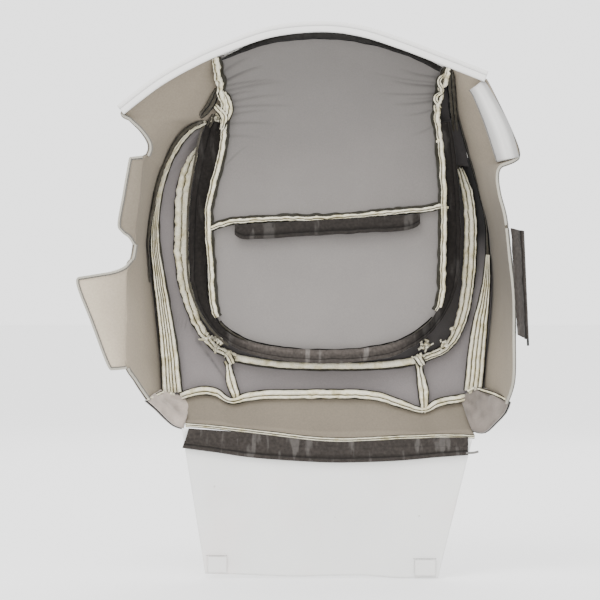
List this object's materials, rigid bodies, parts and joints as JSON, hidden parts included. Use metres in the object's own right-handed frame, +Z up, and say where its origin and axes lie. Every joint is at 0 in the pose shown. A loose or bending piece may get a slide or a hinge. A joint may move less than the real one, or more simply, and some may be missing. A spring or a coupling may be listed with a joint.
{
  "type": "vehicle seat backrest trim cover",
  "caption": "Sewn trim cover of a vehicle seat backrest, lining side forward, with raised seam allowances, listing strips, hinged side flanges and a pull-through flap",
  "frame": {"origin": "on the lining face of the lower insert, at the middle of its width, where the foam pad bears on the cover", "axes": "+X across the seat, +Z up the backrest, +Y towards the passenger; the lining and the pad's space face -Y"},
  "size_m": [0.565, 0.135, 0.699],
  "materials": {
    "insert_scrim": "grey knitted scrim laminated on foam",
    "bolster_scrim": "darker grey knitted scrim laminated on foam",
    "insert_leather": "pale perforated leather, fine grain",
    "outer_leather": "pale leather, fine grain",
    "boxing_lining": "beige felt lining",
    "gusset_lining": "pinkish beige lining",
    "ear_lining": "beige lining on pale leather",
    "seam_allowance": "cream foam and leather edges with stitching",
    "fleece": "dark charcoal needled fleece",
    "edge_tape": "black woven edge tape",
    "hem_leather": "white leather hem, folded and stitched",
    "flap_leather": "white leather, smooth",
    "hook_tape": "white hook tape",
    "retainer_plastic": "extruded polypropylene strip",
    "listing_rod": "drawn polypropylene rod",
    "listing_wire": "drawn steel wire"
  },
  "bodies": {
    "cover": {"bolster_crest_seam": "seam_allowance", "bottom_boxing_face": "outer_leather", "bottom_boxing_lining": "boxing_lining", "bottom_piping": "hem_leather", "cross_seam": "seam_allowance", "inner_bolster_backing": "bolster_scrim", "inner_bolster_face": "outer_leather", "insert_bottom_seam": "seam_allowance", "insert_left_seam": "seam_allowance", "insert_lower_backing": "insert_scrim", "insert_lower_face": "insert_leather", "insert_right_seam": "seam_allowance", "insert_upper_backing": "insert_scrim", "insert_upper_face": "insert_leather", "left_bolster_backing": "bolster_scrim", "left_bolster_face": "outer_leather", "left_boxing_face": "outer_leather", "left_boxing_lining": "boxing_lining", "left_corner_gusset_face": "outer_leather", "left_corner_gusset_lining": "gusset_lining", "left_gore_seam": "seam_allowance", "lower_bolster_backing": "bolster_scrim", "lower_bolster_face": "outer_leather", "outer_bottom_seam": "seam_allowance", "outer_left_seam": "seam_allowance", "outer_right_seam": "seam_allowance", "right_bolster_backing": "bolster_scrim", "right_bolster_face": "outer_leather", "right_boxing_face": "outer_leather", "right_boxing_lining": "boxing_lining", "right_corner_gusset_face": "outer_leather", "right_corner_gusset_lining": "gusset_lining", "right_gore_seam": "seam_allowance", "top_band": "hem_leather", "top_tape": "edge_tape", "u_listing_sleeve": "fleece", "u_listing_wire": "listing_wire"},
    "pull_through_flap_body": {"pull_through_flap": "flap_leather"},
    "left_flap_tab_body": {"left_flap_tab": "hook_tape"},
    "right_flap_tab_body": {"right_flap_tab": "hook_tape"},
    "bottom_listing": {"bottom_listing_sleeve": "fleece", "bottom_listing_rod": "listing_rod"},
    "centre_listing": {"centre_listing_sleeve": "fleece", "centre_listing_rod": "listing_rod"},
    "right_listing": {"right_listing_sleeve": "fleece", "right_listing_rod": "listing_rod"},
    "left_upper_flange": {"left_upper_ear": "ear_lining", "left_upper_retainer": "retainer_plastic"},
    "left_lower_flange": {"left_lower_ear": "ear_lining", "left_lower_retainer": "retainer_plastic"},
    "right_upper_flange": {"right_upper_ear": "ear_lining"}
  },
  "joints": [
    {"name": "flap_fold", "type": "hinge", "parent": "cover", "child": "pull_through_flap_body", "pos_m": [0.0045, -0.024, -0.199], "axis": [-1, 0, 0], "range_deg": [0, 90]},
    {"name": "left_tab_fold", "type": "hinge", "parent": "pull_through_flap_body", "child": "left_flap_tab_body", "pos_m": [-0.1375, -0.0272, -0.34], "axis": [-1, 0, 0], "range_deg": [0, 120]},
    {"name": "right_tab_fold", "type": "hinge", "parent": "pull_through_flap_body", "child": "right_flap_tab_body", "pos_m": [0.1265, -0.0272, -0.3435], "axis": [-0.9994, 0, 0.0345], "range_deg": [0, 120]},
    {"name": "bottom_listing_fold", "type": "hinge", "parent": "pull_through_flap_body", "child": "bottom_listing", "pos_m": [0.0035, -0.0303, -0.199], "axis": [-1, 0, 0], "range_deg": [0, 55]},
    {"name": "centre_listing_fold", "type": "hinge", "parent": "cover", "child": "centre_listing", "pos_m": [0.0025, -0.0105, 0.086], "axis": [-0.9983, 0, -0.059], "range_deg": [0, 150]},
    {"name": "right_listing_fold", "type": "hinge", "parent": "cover", "child": "right_listing", "pos_m": [0.233, -0.1055, 0.0095], "axis": [0.061, 0.0076, -0.9981], "range_deg": [0, 120]},
    {"name": "left_upper_flange_fold", "type": "hinge", "parent": "cover", "child": "left_upper_flange", "pos_m": [-0.234, -0.0615, 0.119], "axis": [0.0971, 0.0121, 0.9952], "range_deg": [0, 130]},
    {"name": "left_lower_flange_fold", "type": "hinge", "parent": "cover", "child": "left_lower_flange", "pos_m": [-0.25075, -0.0615, -0.032], "axis": [0.0208, -0.0083, 0.9997], "range_deg": [0, 120]},
    {"name": "right_upper_flange_fold", "type": "hinge", "parent": "cover", "child": "right_upper_flange", "pos_m": [0.216, -0.0955, 0.209], "axis": [-0.4176, 0.2204, 0.8815], "range_deg": [0, 160]}
  ]
}
